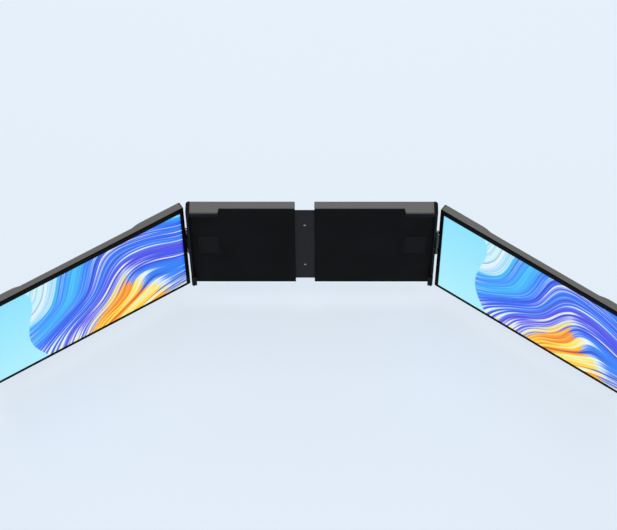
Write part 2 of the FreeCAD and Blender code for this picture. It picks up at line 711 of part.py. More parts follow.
class Screen:
    def __init__(self, side):
        self.side = side
        self.name = "left" if side < 0 else "right"
        if side < 0:
            self.pin, self.drop, self.turn = rearPin(side), d.rearHingeDrop, d.leftTurn
            self.edge, self.face, self.radius = d.rearReach, -d.rearAhead, d.rearBarrel
        else:
            self.pin, self.drop, self.turn = frontPin(side), d.frontHingeDrop, -d.rightTurn
            self.edge, self.face, self.radius = d.frontReach, d.frontBehind, d.frontBarrel
        self.free = self.edge + d.viewLength + d.viewSide * 2
        self.top = d.screenTop
        self.height = d.viewDrop + d.viewHeight + d.viewChin
        self.bottom = d.screenTop - self.height
        self.back = self.face + d.screenEnd
        self.flat = self.face + d.screenMiddle
        self.glassFace = self.face + d.glassRecess
        self.glassBack = self.face + d.bezelThickness
        self.panelBack = self.glassBack + d.panelThickness
        self.boardBack = self.panelBack + d.boardGap + d.boardThickness
        self.portMiddle = self.boardBack + d.socketThick / 2

    def x(self, a, b):
        return out(self.side, a, b)

    def at(self, a):
        return at(self.side, a)

    def window(self, margin):
        # the picture's outline, grown by a margin
        return rect(self.x(self.edge + d.viewSide - margin, self.free - d.viewSide + margin),
                    (self.bottom + d.viewChin - margin, self.top - d.viewDrop + margin))

    def seat(self, label, thing):
        upright = FreeCAD.Rotation(FreeCAD.Vector(0, 0, 1), self.turn.value)
        thing.Placement = FreeCAD.Placement(FreeCAD.Vector(), upright)
        bind(thing, "Placement.Rotation.Angle", self.turn)
        bind(thing, "Placement.Base.x", self.pin[0])
        bind(thing, "Placement.Base.y", self.pin[1])
        return node(f"{self.name}_{label}", thing)

    def ports(self):
        # cut-outs on the free edge: middle height, width, thickness, wall
        first = self.bottom + d.firstSocket
        return {
            "usb_a": (first, d.socketWidth, d.socketThick),
            "usb_b": (first - d.socketPitch, d.socketWidth, d.socketThick),
            "hdmi": (self.bottom + d.wideSocketRise, d.wideSocketWidth, d.socketThick),
        }

    def buttons(self):
        return {"power": self.bottom + d.powerRise, "menu": self.bottom + d.menuRise}

    def edgeHole(self, name, middle, width, thick, gap):
        return box(name, self.x(self.free - d.caseWall - d.past, self.free + d.past),
                   (self.portMiddle - thick / 2 - gap, self.portMiddle + thick / 2 + gap),
                   (middle - width / 2 - gap, middle + width / 2 + gap))

    def case(self):
        body = solid(self.name + "Case")
        a, b = self.edge, self.free
        shape = [(self.at(x), y) for x, y in (
            (a, self.glassBack), (b, self.glassBack), (b, self.back), (b - d.freeBlock, self.back),
            (b - d.freeBlock - d.blockSlope, self.flat), (a + d.hingeBlock + d.blockSlope, self.flat),
            (a + d.hingeBlock, self.back), (a, self.back))]
        pad(body, "XY_Plane", self.bottom, [shape], self.height)
        dress(body, "Fillet", d.caseCorner, lambda e: along(e, "y") and (
            near(e, "z", self.top) or near(e, "z", self.bottom)))
        dress(body, "Chamfer", d.caseEdge, lambda e: near(e, "y", self.back) and (
            not along(e, "z") or near(e, "x", self.at(a)) or near(e, "x", self.at(b))))
        w = d.caseWall
        hollow = rect(self.x(a + w, b - w), (self.bottom + w, self.top - w))
        pocket(body, "XZ_Plane", -self.glassBack, [hollow], d.screenMiddle - w - d.bezelThickness)
        floor = self.flat - w
        blocks = [rect(self.x(a + w, a + d.hingeBlock), (self.bottom + w, self.top - w)),
                  rect(self.x(b - d.freeBlock, b - w), (self.bottom + w, self.top - w))]
        pocket(body, "XZ_Plane", -floor, blocks, d.screenEnd - d.screenMiddle)
        posts, half = [], d.postHalf
        for i, (x, z) in enumerate(self.boardPosts()):
            posts.append(box(f"{self.name}Post{i}", (x - half, x + half),
                             (self.boardBack, self.back - w / 2), (z - half, z + half)))
        whole = fuse(self.name + "CaseWithPosts", [body] + posts)
        tools = []
        for key, (middle, width, thick) in self.ports().items():
            tools.append(self.edgeHole(f"{self.name}PortHole{key}", middle, width, thick, d.portFit))
        for key, middle in self.buttons().items():
            tools.append(self.edgeHole(f"{self.name}ButtonHole{key}", middle, d.buttonHeight,
                                       d.buttonThick, d.buttonGap))
        tools.append(self.leafCut("CaseLeafCut"))
        self.seat("screen_case", cut(self.name + "CaseCut", whole, tools))

    def leafCut(self, name):
        low, high = hingeLevels(self.drop)["middle"]
        gap = d.portFit
        if self.side < 0:
            y = (-(d.leafThickness / 2) - gap, d.leafThickness / 2 + gap)
            x = self.x(self.edge - d.past, self.edge + d.caseWall + d.past)
        else:
            y = (self.face - d.past, self.leafSeat() + gap)
            x = self.x(self.edge - d.past, d.knuckleGap + d.leafThickness + gap)
        return box(self.name + name, x, y, (low - gap, high + gap))

    def leafSeat(self):
        # rear face of the leaf inside the case
        return self.panelBack + d.portFit + d.leafThickness

    def bezel(self):
        body = solid(self.name + "Bezel")
        outer = rect(self.x(self.edge, self.free), (self.bottom, self.top))
        pad(body, "XZ_Plane", -self.face, [outer, self.window(0)], d.bezelThickness, True)
        dress(body, "Fillet", d.caseCorner, lambda e: along(e, "y") and (
            near(e, "z", self.top) or near(e, "z", self.bottom)))
        dress(body, "Chamfer", d.bezelBevel, lambda e: near(e, "y", self.face) and (
            near(e, "z", self.top) or near(e, "z", self.bottom)))
        if self.side > 0:
            body = cut(self.name + "BezelCut", body, [self.leafCut("BezelLeafCut")])
        self.seat("bezel", body)

    def glass(self):
        body = solid(self.name + "Glass")
        outer = self.window(-d.glassFit)
        pad(body, "XZ_Plane", -self.glassFace, [outer], self.glassBack - self.glassFace, True)
        self.seat("display_glass", body)

    def panel(self):
        body = solid(self.name + "Panel")
        pad(body, "XZ_Plane", -self.glassBack, [self.window(d.panelMargin)], d.panelThickness, True)
        self.seat("lcd_panel", body)

    def boardPosts(self):
        edge, low = self.free - d.boardEdge, self.bottom + d.boardRise
        x = (edge - d.postInset, edge - d.boardLength + d.postInset)
        z = (low + d.boardHeight - d.postInset, low + d.postInset)
        return [(self.at(a), b) for a in x for b in z]

    def board(self):
        body = solid(self.name + "Board")
        high = self.free - d.boardEdge
        z = self.bottom + d.boardRise
        outer = rect(self.x(high - d.boardLength, high), (z, z + d.boardHeight))
        pad(body, "XZ_Plane", -(self.boardBack - d.boardThickness), [outer], d.boardThickness, True)
        self.seat("driver_board", body)

    def sockets(self):
        shells = {}
        for key, (middle, width, thick) in self.ports().items():
            y = (self.portMiddle - thick / 2, self.portMiddle + thick / 2)
            z = (middle - width / 2, middle + width / 2)
            w = d.socketWall
            start, half = self.free - d.portDepth, d.tongueThick / 2
            shell = box(f"{self.name}Socket{key}", self.x(start, self.free), y, z)
            hole = box(f"{self.name}SocketHole{key}", self.x(start + d.socketFloor, self.free + d.past),
                       (y[0] + w, y[1] - w), (z[0] + w, z[1] - w))
            tongue = box(f"{self.name}Tongue{key}",
                         self.x(start + d.socketFloor / 2, self.free - d.socketFloor),
                         (self.portMiddle - half, self.portMiddle + half),
                         (z[0] + d.tongueInset, z[1] - d.tongueInset))
            hollow = cut(f"{self.name}SocketShell{key}", shell, [hole])
            shells[key] = fuse(f"{self.name}SocketWhole{key}", [hollow, tongue])
        self.seat("usb_c_sockets", group(self.name + "UsbSockets", [shells["usb_a"], shells["usb_b"]]))
        self.seat("mini_hdmi_socket", shells["hdmi"])

    def keys(self):
        for key, middle in self.buttons().items():
            head = box(f"{self.name}ButtonHead{key}",
                       self.x(self.free - d.caseWall - d.buttonTravel, self.free + d.buttonStand),
                       (self.portMiddle - d.buttonThick / 2, self.portMiddle + d.buttonThick / 2),
                       (middle - d.buttonHeight / 2, middle + d.buttonHeight / 2))
            self.seat(f"{key}_button", group(f"{self.name}Button{key}", [head]))

    def speakers(self):
        # two slim boxes against the rear wall, low in the hinge block
        boxes = []
        y = (self.back - d.caseWall - d.speakerThick, self.back - d.caseWall)
        low = self.bottom + d.caseWall + d.speakerGap
        places = ((self.edge + d.speakerInset, d.speakerLength),
                  (self.free - d.freeBlock + d.speakerGap * 2, d.shortSpeaker))
        for i, (start, length) in enumerate(places):
            boxes.append(box(f"{self.name}Speaker{i}", self.x(start, start + length), y,
                             (low, low + d.speakerHeight)))
        self.seat("speakers", group(self.name + "Speakers", boxes))

    def leaf(self):
        # knuckle on the pin and the leaf that holds the case
        levels = hingeLevels(self.drop)["middle"]
        half = d.leafThickness / 2
        body = solid(self.name + "MovingLeaf")
        bore = d.pinRadius + d.pinFit
        if self.side < 0:
            shape = [(0, -half), (self.at(self.edge + d.leafLength), -half),
                     (self.at(self.edge + d.leafLength), half), (0, half)]
        else:
            near_x, far_x = d.knuckleGap, d.knuckleGap + d.leafThickness
            rear = self.leafSeat()
            shape = [(near_x, 0), (far_x, 0), (far_x, rear - d.leafThickness),
                     (d.leafLength, rear - d.leafThickness), (d.leafLength, rear), (near_x, rear)]
        pad(body, "XY_Plane", levels[0], [shape], levels[1] - levels[0])
        tube, hole = barrel(self.name + "Moving", 0, 0, self.radius, *levels, bore)
        whole = fuse(self.name + "MovingLeafAndKnuckle", [body, tube])
        self.seat("hinge_screen_leaf", cut(self.name + "MovingHinge", whole, [hole]))

    def build(self):
        for make in (self.case, self.bezel, self.glass, self.panel, self.board, self.sockets, self.keys,
                     self.speakers, self.leaf):
            make()


centrePlate()
for which in railLevels:
    rail(which)
rivets()
for side, name in ((-1, "left"), (1, "right")):
    backCover(side, name)
    coverScrews(side, name)
    frontPlate(side, name)
    endFrame(side, name)
    hook(side, name)
    gripPads(side, name)
    for which in railLevels:
        channel(side, name, which)
    glides(side, name)
fixedHingeRear(-1, "left")
hingePin(-1, "left", rearPin(-1), d.rearHingeDrop)
fixedHingeFront(1, "right")
hingePin(1, "right", frontPin(1), d.frontHingeDrop)
for side in (-1, 1):
    Screen(side).build()

doc.recompute()
for thing in doc.Objects:
    if "Invalid" in thing.State or "Error" in thing.State:
        raise RuntimeError(f"{thing.Label} ({thing.Name}) failed: {thing.State}")
os.makedirs("parts", exist_ok=True)
for thing in made:
    shape = thing.Shape
    if shape.isNull() or not shape.isValid() or not shape.Solids:
        raise RuntimeError(f"{thing.Label} has no valid solid")
    shape.exportStep(f"parts/{thing.Label}.step")
    b = shape.BoundBox
    print(f"{thing.Label}: {len(shape.Solids)} solids, {shape.Volume:.0f} mm3, "
          f"x {b.XMin:.1f} to {b.XMax:.1f}, y {b.YMin:.1f} to {b.YMax:.1f}, z {b.ZMin:.1f} to {b.ZMax:.1f}")
print(f"{len(made)} pieces")
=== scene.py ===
import math
import bmesh
import bpy
from mathutils import Matrix, Vector


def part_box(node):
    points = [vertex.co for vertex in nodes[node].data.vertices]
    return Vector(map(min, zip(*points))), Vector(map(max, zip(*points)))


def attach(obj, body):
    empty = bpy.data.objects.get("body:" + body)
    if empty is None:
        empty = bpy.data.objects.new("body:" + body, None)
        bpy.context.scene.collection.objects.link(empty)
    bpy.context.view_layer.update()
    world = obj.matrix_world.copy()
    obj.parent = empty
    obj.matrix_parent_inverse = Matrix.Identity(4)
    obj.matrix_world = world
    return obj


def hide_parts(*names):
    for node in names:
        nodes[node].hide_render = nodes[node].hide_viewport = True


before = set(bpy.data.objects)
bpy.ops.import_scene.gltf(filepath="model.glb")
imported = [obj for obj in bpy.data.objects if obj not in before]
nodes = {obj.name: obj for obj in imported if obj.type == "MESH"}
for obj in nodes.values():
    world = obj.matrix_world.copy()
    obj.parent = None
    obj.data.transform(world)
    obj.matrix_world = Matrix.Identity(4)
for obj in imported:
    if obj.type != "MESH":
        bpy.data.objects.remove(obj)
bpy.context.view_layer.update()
print("frame loaded:", len(nodes), "nodes")


def rgba(colour):
    # a screen colour, 0 to 255, as the linear values that the shaders take
    shares = [part / 255 for part in colour]
    return (*(s / 12.92 if s <= 0.04045 else ((s + 0.055) / 1.055) ** 2.4 for s in shares), 1.0)


def node(tree, kind, links=(), **settings):
    # a node with its settings, and sockets fed from other nodes or set to a value
    made = tree.nodes.new(kind)
    for key, value in settings.items():
        setattr(made, key, value)
    for socket, value in dict(links).items():
        if isinstance(value, bpy.types.NodeSocket):
            tree.links.new(value, made.inputs[socket])
        else:
            made.inputs[socket].default_value = value
    return made


def maths(tree, how, a, b=0.0, c=None, clamp=False):
    links = {0: a, 1: b}
    if c is not None:
        links[2] = c
    return node(tree, "ShaderNodeMath", links, operation=how, use_clamp=clamp).outputs[0]


def vectorMaths(tree, how, a, b):
    return node(tree, "ShaderNodeVectorMath", {0: a, 1: b}, operation=how).outputs[0]


def noise(tree, vector, scale, detail):
    links = {"Vector": vector, "Scale": scale, "Detail": detail}
    return node(tree, "ShaderNodeTexNoise", links).outputs["Fac"]


def ramp(tree, factor, stops):
    made = node(tree, "ShaderNodeValToRGB", {0: factor})
    bar = made.color_ramp.elements
    while len(bar) < len(stops):
        bar.new(0.5)
    for element, (place, colour) in zip(bar, stops):
        element.position = place
        element.color = rgba(colour)
    return made.outputs["Color"]


def spread(tree, value, low, high):
    # 0..1 into low..high
    return node(tree, "ShaderNodeMapRange", {0: value, 3: low, 4: high}).outputs[0]


def softStep(tree, value, low, high):
    # 0 at low, 1 at high, where low may be the larger one
    links = {0: value, 1: low, 2: high}
    return node(tree, "ShaderNodeMapRange", links, interpolation_type="SMOOTHSTEP").outputs[0]


def blend(tree, share, first, second):
    made = node(tree, "ShaderNodeMix", {0: share, 6: first, 7: second}, data_type="RGBA")
    return made.outputs[2]


def newTree(name, kind, inputs, outputs):
    # rows are a label, a kind of socket and, where it has one, its starting value
    tree = bpy.data.node_groups.new(name, f"{kind}NodeTree")
    for way, rows in (("INPUT", inputs), ("OUTPUT", outputs)):
        for label, sort, *start in rows:
            socket = tree.interface.new_socket(label, in_out=way, socket_type=f"NodeSocket{sort}")
            if start:
                socket.default_value = start[0]
    return tree, tree.nodes.new("NodeGroupInput").outputs, tree.nodes.new("NodeGroupOutput").inputs


cameraSetup = {
    "place": (0.013197, -1.486967, 2.390668),
    "right": (0.99998138, 0.00350337, -0.00499735),
    "up": (-0.00047493, 0.86101687, 0.50857617),
    "forward": (-0.00608453, 0.50856433, -0.86100250),
    "lens": 133.206,
    "sensorWidth": 36.0,
    "farLimit": 50.0,
}
studioSetup = {
    "floorHeight": -0.228,
    "floorHalf": 7.0,
    "floorColour": (232, 238, 246),
    "floorRoughness": 0.9,
    "floorSpecular": 0.2,
    "floorGlow": (232, 244, 255),
    "floorGlowShare": 0.6,  # how much of the floor that the camera sees is plain glow
    "floorGlowLow": 0.97,
    "floorGlowHigh": 1.03,
    "floorPatchScale": 0.6,
    "floorPatchDetail": 1.0,
    "skyColour": (236, 241, 250),
    "skyStrength": 0.42,
    "topLamp": {"place": (0.0, 0.1, 2.9), "aim": (0, 0, 0), "size": 2.6, "power": 62.0},
    "rearLamp": {"place": (0.3, 2.6, 1.9), "aim": (0, 0, -0.1), "size": 1.6, "power": 16.0},
}


def makeCamera(setup):
    camera = bpy.data.objects.new("photoCamera", bpy.data.cameras.new("photoCamera"))
    bpy.context.scene.collection.objects.link(camera)
    right, up, forward = (Vector(setup[k]).normalized() for k in ("right", "up", "forward"))
    turn = Matrix((right, up, -forward)).transposed().to_4x4()
    camera.matrix_world = Matrix.Translation(setup["place"]) @ turn
    camera.data.sensor_fit = "HORIZONTAL"
    camera.data.sensor_width = setup["sensorWidth"]
    camera.data.lens = setup["lens"]
    camera.data.clip_end = setup["farLimit"]
    bpy.context.scene.camera = camera


def makeLamp(name, setup):
    place, aim = Vector(setup["place"]), Vector(setup["aim"])
    lamp = bpy.data.lights.new(name, "AREA")
    lamp.shape = "SQUARE"
    lamp.size = setup["size"]
    lamp.energy = setup["power"]
    holder = bpy.data.objects.new(name, lamp)
    holder.location = place
    holder.rotation_euler = (aim - place).to_track_quat("-Z", "Y").to_euler()
    bpy.context.scene.collection.objects.link(holder)


def floorMaterial(setup):
    material = bpy.data.materials.new("paleFloor")
    material.use_nodes = True
    tree = material.node_tree
    shader = tree.nodes["Principled BSDF"]
    shader.inputs["Base Color"].default_value = rgba(setup["floorColour"])
    shader.inputs["Roughness"].default_value = setup["floorRoughness"]
    shader.inputs["Specular IOR Level"].default_value = setup["floorSpecular"]
    slow = node(tree, "ShaderNodeTexNoise", {
        "Scale": setup["floorPatchScale"], "Detail": setup["floorPatchDetail"]})
    strength = spread(tree, slow.outputs["Fac"], setup["floorGlowLow"], setup["floorGlowHigh"])
    glow = node(tree, "ShaderNodeEmission", {"Color": rgba(setup["floorGlow"]), "Strength": strength})
    path = node(tree, "ShaderNodeLightPath")
    share = maths(tree, "MULTIPLY", path.outputs["Is Camera Ray"], setup["floorGlowShare"])
    both = node(tree, "ShaderNodeMixShader", {0: share, 1: shader.outputs[0], 2: glow.outputs[0]})
    tree.links.new(both.outputs[0], tree.nodes["Material Output"].inputs["Surface"])
    return material


def makeFloor(setup):
    half, height = setup["floorHalf"], setup["floorHeight"]
    mesh = bpy.data.meshes.new("floor")
    corners = [(x * half, y * half, height) for x, y in ((-1, -1), (1, -1), (1, 1), (-1, 1))]
    mesh.from_pydata(corners, [], [(0, 1, 2, 3)])
    mesh.materials.append(floorMaterial(setup))
    floor = bpy.data.objects.new("floor", mesh)
    bpy.context.scene.collection.objects.link(floor)


def makeSky(setup):
    # dim as a light, and pale where the camera looks past the floor
    world = bpy.data.worlds.new("studio")
    world.use_nodes = True
    tree = world.node_tree
    sky = tree.nodes["Background"]
    sky.inputs["Color"].default_value = rgba(setup["skyColour"])
    sky.inputs["Strength"].default_value = setup["skyStrength"]
    seen = node(tree, "ShaderNodeBackground", {"Color": rgba(setup["skyColour"]), "Strength": 1.0})
    path = node(tree, "ShaderNodeLightPath")
    choose = node(tree, "ShaderNodeMixShader", {
        0: path.outputs["Is Camera Ray"], 1: sky.outputs[0], 2: seen.outputs[0]})
    tree.links.new(choose.outputs[0], tree.nodes["World Output"].inputs["Surface"])
    bpy.context.scene.world = world


makeCamera(cameraSetup)
makeFloor(studioSetup)
makeSky(studioSetup)
makeLamp("topLamp", studioSetup["topLamp"])
makeLamp("rearLamp", studioSetup["rearLamp"])
bpy.context.scene.view_settings.view_transform = "Standard"
print("camera, lamps and floor made")


noiseRange = (0.3, 0.7)  # where nearly all of a noise's values lie
noiseDetail = {"grain": 2.0, "patch": 4.0, "lines": 3.0, "rub": 4.0}


def tintAndGloss(group, given, out, value, source, height):
    # the outputs that the grain and the brushed lines share; source drives the roughness
    tint = node(group, "ShaderNodeHueSaturation", {"Value": value, "Color": given["Base"]})
    rough = node(group, "ShaderNodeMapRange", {
        0: source, 1: noiseRange[0], 2: noiseRange[1],
        3: given["Roughness Low"], 4: given["Roughness High"]})
    group.links.new(tint.outputs[0], out["Colour"])
    group.links.new(rough.outputs[0], out["Roughness"])
    group.links.new(height, out["Height"])


surfaceOutputs = [("Colour", "Color"), ("Roughness", "Float"), ("Height", "Float")]


def grainGroup():
    # fine moulded or bead-blasted grain with slow unevenness, for plastics and metals
    group, given, out = newTree("fineGrain", "Shader", [
        ("Vector", "Vector"), ("Grain Scale", "Float", 2600.0), ("Patch Scale", "Float", 14.0),
        ("Base", "Color"), ("Tint Change", "Float", 0.12), ("Tint Gain", "Float", 4.0),
        ("Roughness Low", "Float", 0.4), ("Roughness High", "Float", 0.55)], surfaceOutputs)
    grain = noise(group, given["Vector"], given["Grain Scale"], noiseDetail["grain"])
    patch = noise(group, given["Vector"], given["Patch Scale"], noiseDetail["patch"])
    both = maths(group, "ADD", maths(group, "MULTIPLY", grain, 0.5), maths(group, "MULTIPLY", patch, 0.5))
    change = maths(group, "MULTIPLY", maths(group, "SUBTRACT", both, 0.5), given["Tint Change"])
    value = maths(group, "MULTIPLY_ADD", change, given["Tint Gain"], 1.0)
    tintAndGloss(group, given, out, value, both, grain)
    return group


def brushGroup():
    # drawn lines along one axis, for rails, pins and plates
    group, given, out = newTree("brushedLines", "Shader", [
        ("Vector", "Vector"), ("Stretch", "Vector", (20.0, 2500.0, 2500.0)), ("Base", "Color"),
        ("Tint Change", "Float", 0.25), ("Tint Gain", "Float", 2.0),
        ("Roughness Low", "Float", 0.2), ("Roughness High", "Float", 0.45)], surfaceOutputs)
    drawn = vectorMaths(group, "MULTIPLY", given["Vector"], given["Stretch"])
    lines = noise(group, drawn, 1.0, noiseDetail["lines"])
    gain = maths(group, "MULTIPLY", given["Tint Change"], given["Tint Gain"])
    value = maths(group, "MULTIPLY_ADD", maths(group, "SUBTRACT", lines, 0.5), gain, 1.0)
    tintAndGloss(group, given, out, value, lines, lines)
    return group


def wearAndShadeGroup():
    # masks along the edges of a box, where two of its three pairs of faces are near:
    # a rubbed band of uneven width, which is wear, and an even dark rim, which is painted shade along the
    # edges
    group, given, out = newTree("edgeWearAndShade", "Shader", [
        ("Vector", "Vector"), ("Low", "Vector"), ("High", "Vector"), ("Reach", "Float", 0.0007),
        ("Least Reach", "Float", 0.00004), ("Rub Scale", "Float", 90.0), ("Rub Low", "Float", -0.4),
        ("Rub High", "Float", 1.9), ("Rim Outer", "Float", 0.0010), ("Rim Inner", "Float", 0.0005)],
        [("Mask", "Float"), ("Rim", "Float")])
    fromLow = vectorMaths(group, "SUBTRACT", given["Vector"], given["Low"])
    toHigh = vectorMaths(group, "SUBTRACT", given["High"], given["Vector"])
    nearest = vectorMaths(group, "MINIMUM", fromLow, toHigh)
    x, y, z = node(group, "ShaderNodeSeparateXYZ", {0: nearest}).outputs
    higher = maths(group, "MINIMUM", maths(group, "MAXIMUM", x, y), z)
    second = maths(group, "MAXIMUM", maths(group, "MINIMUM", x, y), higher)
    uneven = noise(group, given["Vector"], given["Rub Scale"], noiseDetail["rub"])
    rub = spread(group, uneven, given["Rub Low"], given["Rub High"])
    reach = maths(group, "MAXIMUM", maths(group, "MULTIPLY", given["Reach"], rub), given["Least Reach"])
    close = maths(group, "SUBTRACT", 1.0, maths(group, "DIVIDE", second, reach), clamp=True)
    group.links.new(close, out["Mask"])
    group.links.new(softStep(group, second, given["Rim Outer"], given["Rim Inner"]), out["Rim"])
    return group


fineGrain = grainGroup()
brushedLines = brushGroup()
edgeWearAndShade = wearAndShadeGroup()


def newMaterial(name):
    material = bpy.data.materials.new(name)
    material.use_nodes = True
    tree = material.node_tree
    place = tree.nodes.new("ShaderNodeTexCoord").outputs["Object"]
    return material, tree, tree.nodes["Principled BSDF"], place


def surfaceNode(tree, group, place, look):
    # a surface group with the settings that the look has for it
    made = node(tree, "ShaderNodeGroup", node_tree=group)
    tree.links.new(place, made.inputs["Vector"])
    for socket in made.inputs:
        if socket.name in look:
            socket.default_value = look[socket.name]
    made.inputs["Base"].default_value = rgba(look["colour"])
    return made


def addBump(tree, shader, height, look):
    bump = node(tree, "ShaderNodeBump", {
        "Strength": look["bump"], "Distance": look["relief"], "Height": height})
    tree.links.new(bump.outputs["Normal"], shader.inputs["Normal"])


def brought(tree, vector, corner, turn):
    # the point as seen from a frame that stands at the corner, turned about Z
    made = node(tree, "ShaderNodeMapping", {
        "Vector": vector, "Location": corner, "Rotation": (0, 0, turn)}, vector_type="TEXTURE")
    return made.outputs[0]


def grainMaterial(name, look, wornAndShaded=None):
    material, tree, shader, place = newMaterial(name)
    look = {"metallic": 0.0, "specular": 0.5, "relief": 0.00004, **look}
    grain = surfaceNode(tree, fineGrain, place, look)
    colour, rough = grain.outputs["Colour"], grain.outputs["Roughness"]
    if wornAndShaded:
        # a turned piece is brought square to its box first
        square = brought(tree, place, wornAndShaded["place"], wornAndShaded["turn"])
        edge = node(tree, "ShaderNodeGroup", {
            "Vector": square, "Low": wornAndShaded["low"], "High": wornAndShaded["high"]}, node_tree=edgeWearAndShade)
        mask = maths(tree, "MULTIPLY", edge.outputs["Mask"], look["wear"])
        colour = blend(tree, mask, colour, rgba(look["wornColour"]))
        # the dark rim of even width along the edges is painted shade, where a chamfer turns away from the
        # light
        rim = maths(tree, "MULTIPLY", edge.outputs["Rim"], look["rim"])
        colour = blend(tree, rim, colour, rgba(look["rimColour"]))
        rough = maths(tree, "MULTIPLY_ADD", mask, look["wornGloss"], rough)
    tree.links.new(colour, shader.inputs["Base Color"])
    tree.links.new(rough, shader.inputs["Roughness"])
    addBump(tree, shader, grain.outputs["Height"], look)
    shader.inputs["Metallic"].default_value = look["metallic"]
    shader.inputs["Specular IOR Level"].default_value = look["specular"]
    return material


def brushMaterial(name, look):
    material, tree, shader, place = newMaterial(name)
    look = {"metallic": 1.0, "relief": 0.00002, **look}
    brush = surfaceNode(tree, brushedLines, place, look)
    tree.links.new(brush.outputs["Colour"], shader.inputs["Base Color"])
    tree.links.new(brush.outputs["Roughness"], shader.inputs["Roughness"])
    addBump(tree, shader, brush.outputs["Height"], look)
    shader.inputs["Metallic"].default_value = look["metallic"]
    return material


# in the looks with edges, the rim colour is painted shade along the edges, and the worn colour is rubbed
# wear
grainLooks = {
    "greyShell": {
        "colour": (92, 91, 88), "Grain Scale": 2600.0, "Patch Scale": 9.0, "Tint Change": 0.10,
        "Roughness Low": 0.42, "Roughness High": 0.56, "bump": 0.35, "specular": 0.35,
        "wear": 0.25, "wornColour": (120, 119, 116), "wornGloss": -0.12,
        "rim": 0.85, "rimColour": (14, 14, 14)},
    "blackFrame": {
        "colour": (8, 8, 9), "Grain Scale": 2200.0, "Patch Scale": 11.0, "Tint Change": 0.20,
        "Roughness Low": 0.42, "Roughness High": 0.58, "bump": 0.3, "specular": 0.07,
        "wear": 0.35, "wornColour": (46, 46, 48), "wornGloss": -0.12,
        "rim": 0.5, "rimColour": (5, 5, 6)},
    "blackBezel": {
        "colour": (8, 8, 9), "Grain Scale": 2200.0, "Patch Scale": 11.0, "Tint Change": 0.25,
        "Roughness Low": 0.55, "Roughness High": 0.7, "bump": 0.25, "specular": 0.05,
        "wear": 0.3, "wornColour": (40, 40, 42), "wornGloss": -0.12,
        "rim": 0.5, "rimColour": (5, 5, 6)},
    "blackInside": {
        "colour": (8, 8, 9), "Grain Scale": 1500.0, "Patch Scale": 16.0, "Tint Change": 0.3,
        "Roughness Low": 0.55, "Roughness High": 0.75, "bump": 0.45, "specular": 0.06},
    "blackHinge": {
        "colour": (12, 12, 13), "Grain Scale": 3200.0, "Patch Scale": 40.0, "Tint Change": 0.18,
        "Roughness Low": 0.3, "Roughness High": 0.42, "bump": 0.2, "metallic": 0.4},
    "softRubber": {
        "colour": (24, 24, 25), "Grain Scale": 1800.0, "Patch Scale": 30.0, "Tint Change": 0.25,
        "Roughness Low": 0.75, "Roughness High": 0.9, "bump": 0.6, "specular": 0.15},
    "paleNylon": {
        "colour": (206, 203, 194), "Grain Scale": 1200.0, "Patch Scale": 25.0, "Tint Change": 0.06,
        "Roughness Low": 0.45, "Roughness High": 0.6, "bump": 0.2},
    "darkPlate": {
        "colour": (26, 26, 28), "Grain Scale": 2800.0, "Patch Scale": 7.0, "Tint Change": 0.16,
        "Roughness Low": 0.36, "Roughness High": 0.5, "bump": 0.3, "metallic": 0.5, "specular": 0.1},
}
brushLooks = {
    "drawnSteel": {
        "colour": (168, 168, 172), "Stretch": (30.0, 2600.0, 2600.0), "Tint Change": 0.18,
        "Roughness Low": 0.2, "Roughness High": 0.38, "bump": 0.2},
    "turnedSteel": {
        "colour": (150, 150, 154), "Stretch": (2200.0, 2200.0, 60.0), "Tint Change": 0.2,
        "Roughness Low": 0.2, "Roughness High": 0.36, "bump": 0.2},
    "panelBack": {
        "colour": (176, 177, 180), "Stretch": (1500.0, 1500.0, 25.0), "Tint Change": 0.1,
        "Roughness Low": 0.3, "Roughness High": 0.45, "bump": 0.15},
    "contactGold": {
        "colour": (226, 178, 88), "Stretch": (3000.0, 3000.0, 200.0), "Tint Change": 0.12,
        "Roughness Low": 0.2, "Roughness High": 0.32, "bump": 0.1},
}
# these looks get the rubbed wear and the painted shade rim along each piece's own edges
onlyWornAndShaded = ("greyShell", "blackBezel")  # looks that each piece has in a copy of its own
finish = {name: grainMaterial(name, look) for name, look in grainLooks.items() if name not in onlyWornAndShaded}
finish.update({name: brushMaterial(name, look) for name, look in brushLooks.items()})

# each screen in the plan, from its hinge's pin: the direction that runs outward, along it the near and
# far ends and where the picture starts, and across it the front and back faces
screens = {
    "left": {
        "pin": (-0.15870, 0.01545), "outward": math.radians(180 + 31.8), "start": 0.0100,
        "near": 0.0045, "far": 0.2915, "front": 0.0080, "back": -0.0025,
        "flip": True},  # its picture runs from the far end inward
    "right": {
        "pin": (0.15690, -0.00060), "outward": math.radians(-34.9), "start": 0.0046,
        "near": -0.0009, "far": 0.2861, "front": 0.0046, "back": 0.0151,
        "flip": False},
}
screenLevels = {"top": 0.0009, "bottom": -0.1841}
pictureSize = {"length": 0.276, "height": 0.170, "bottom": -0.1781}

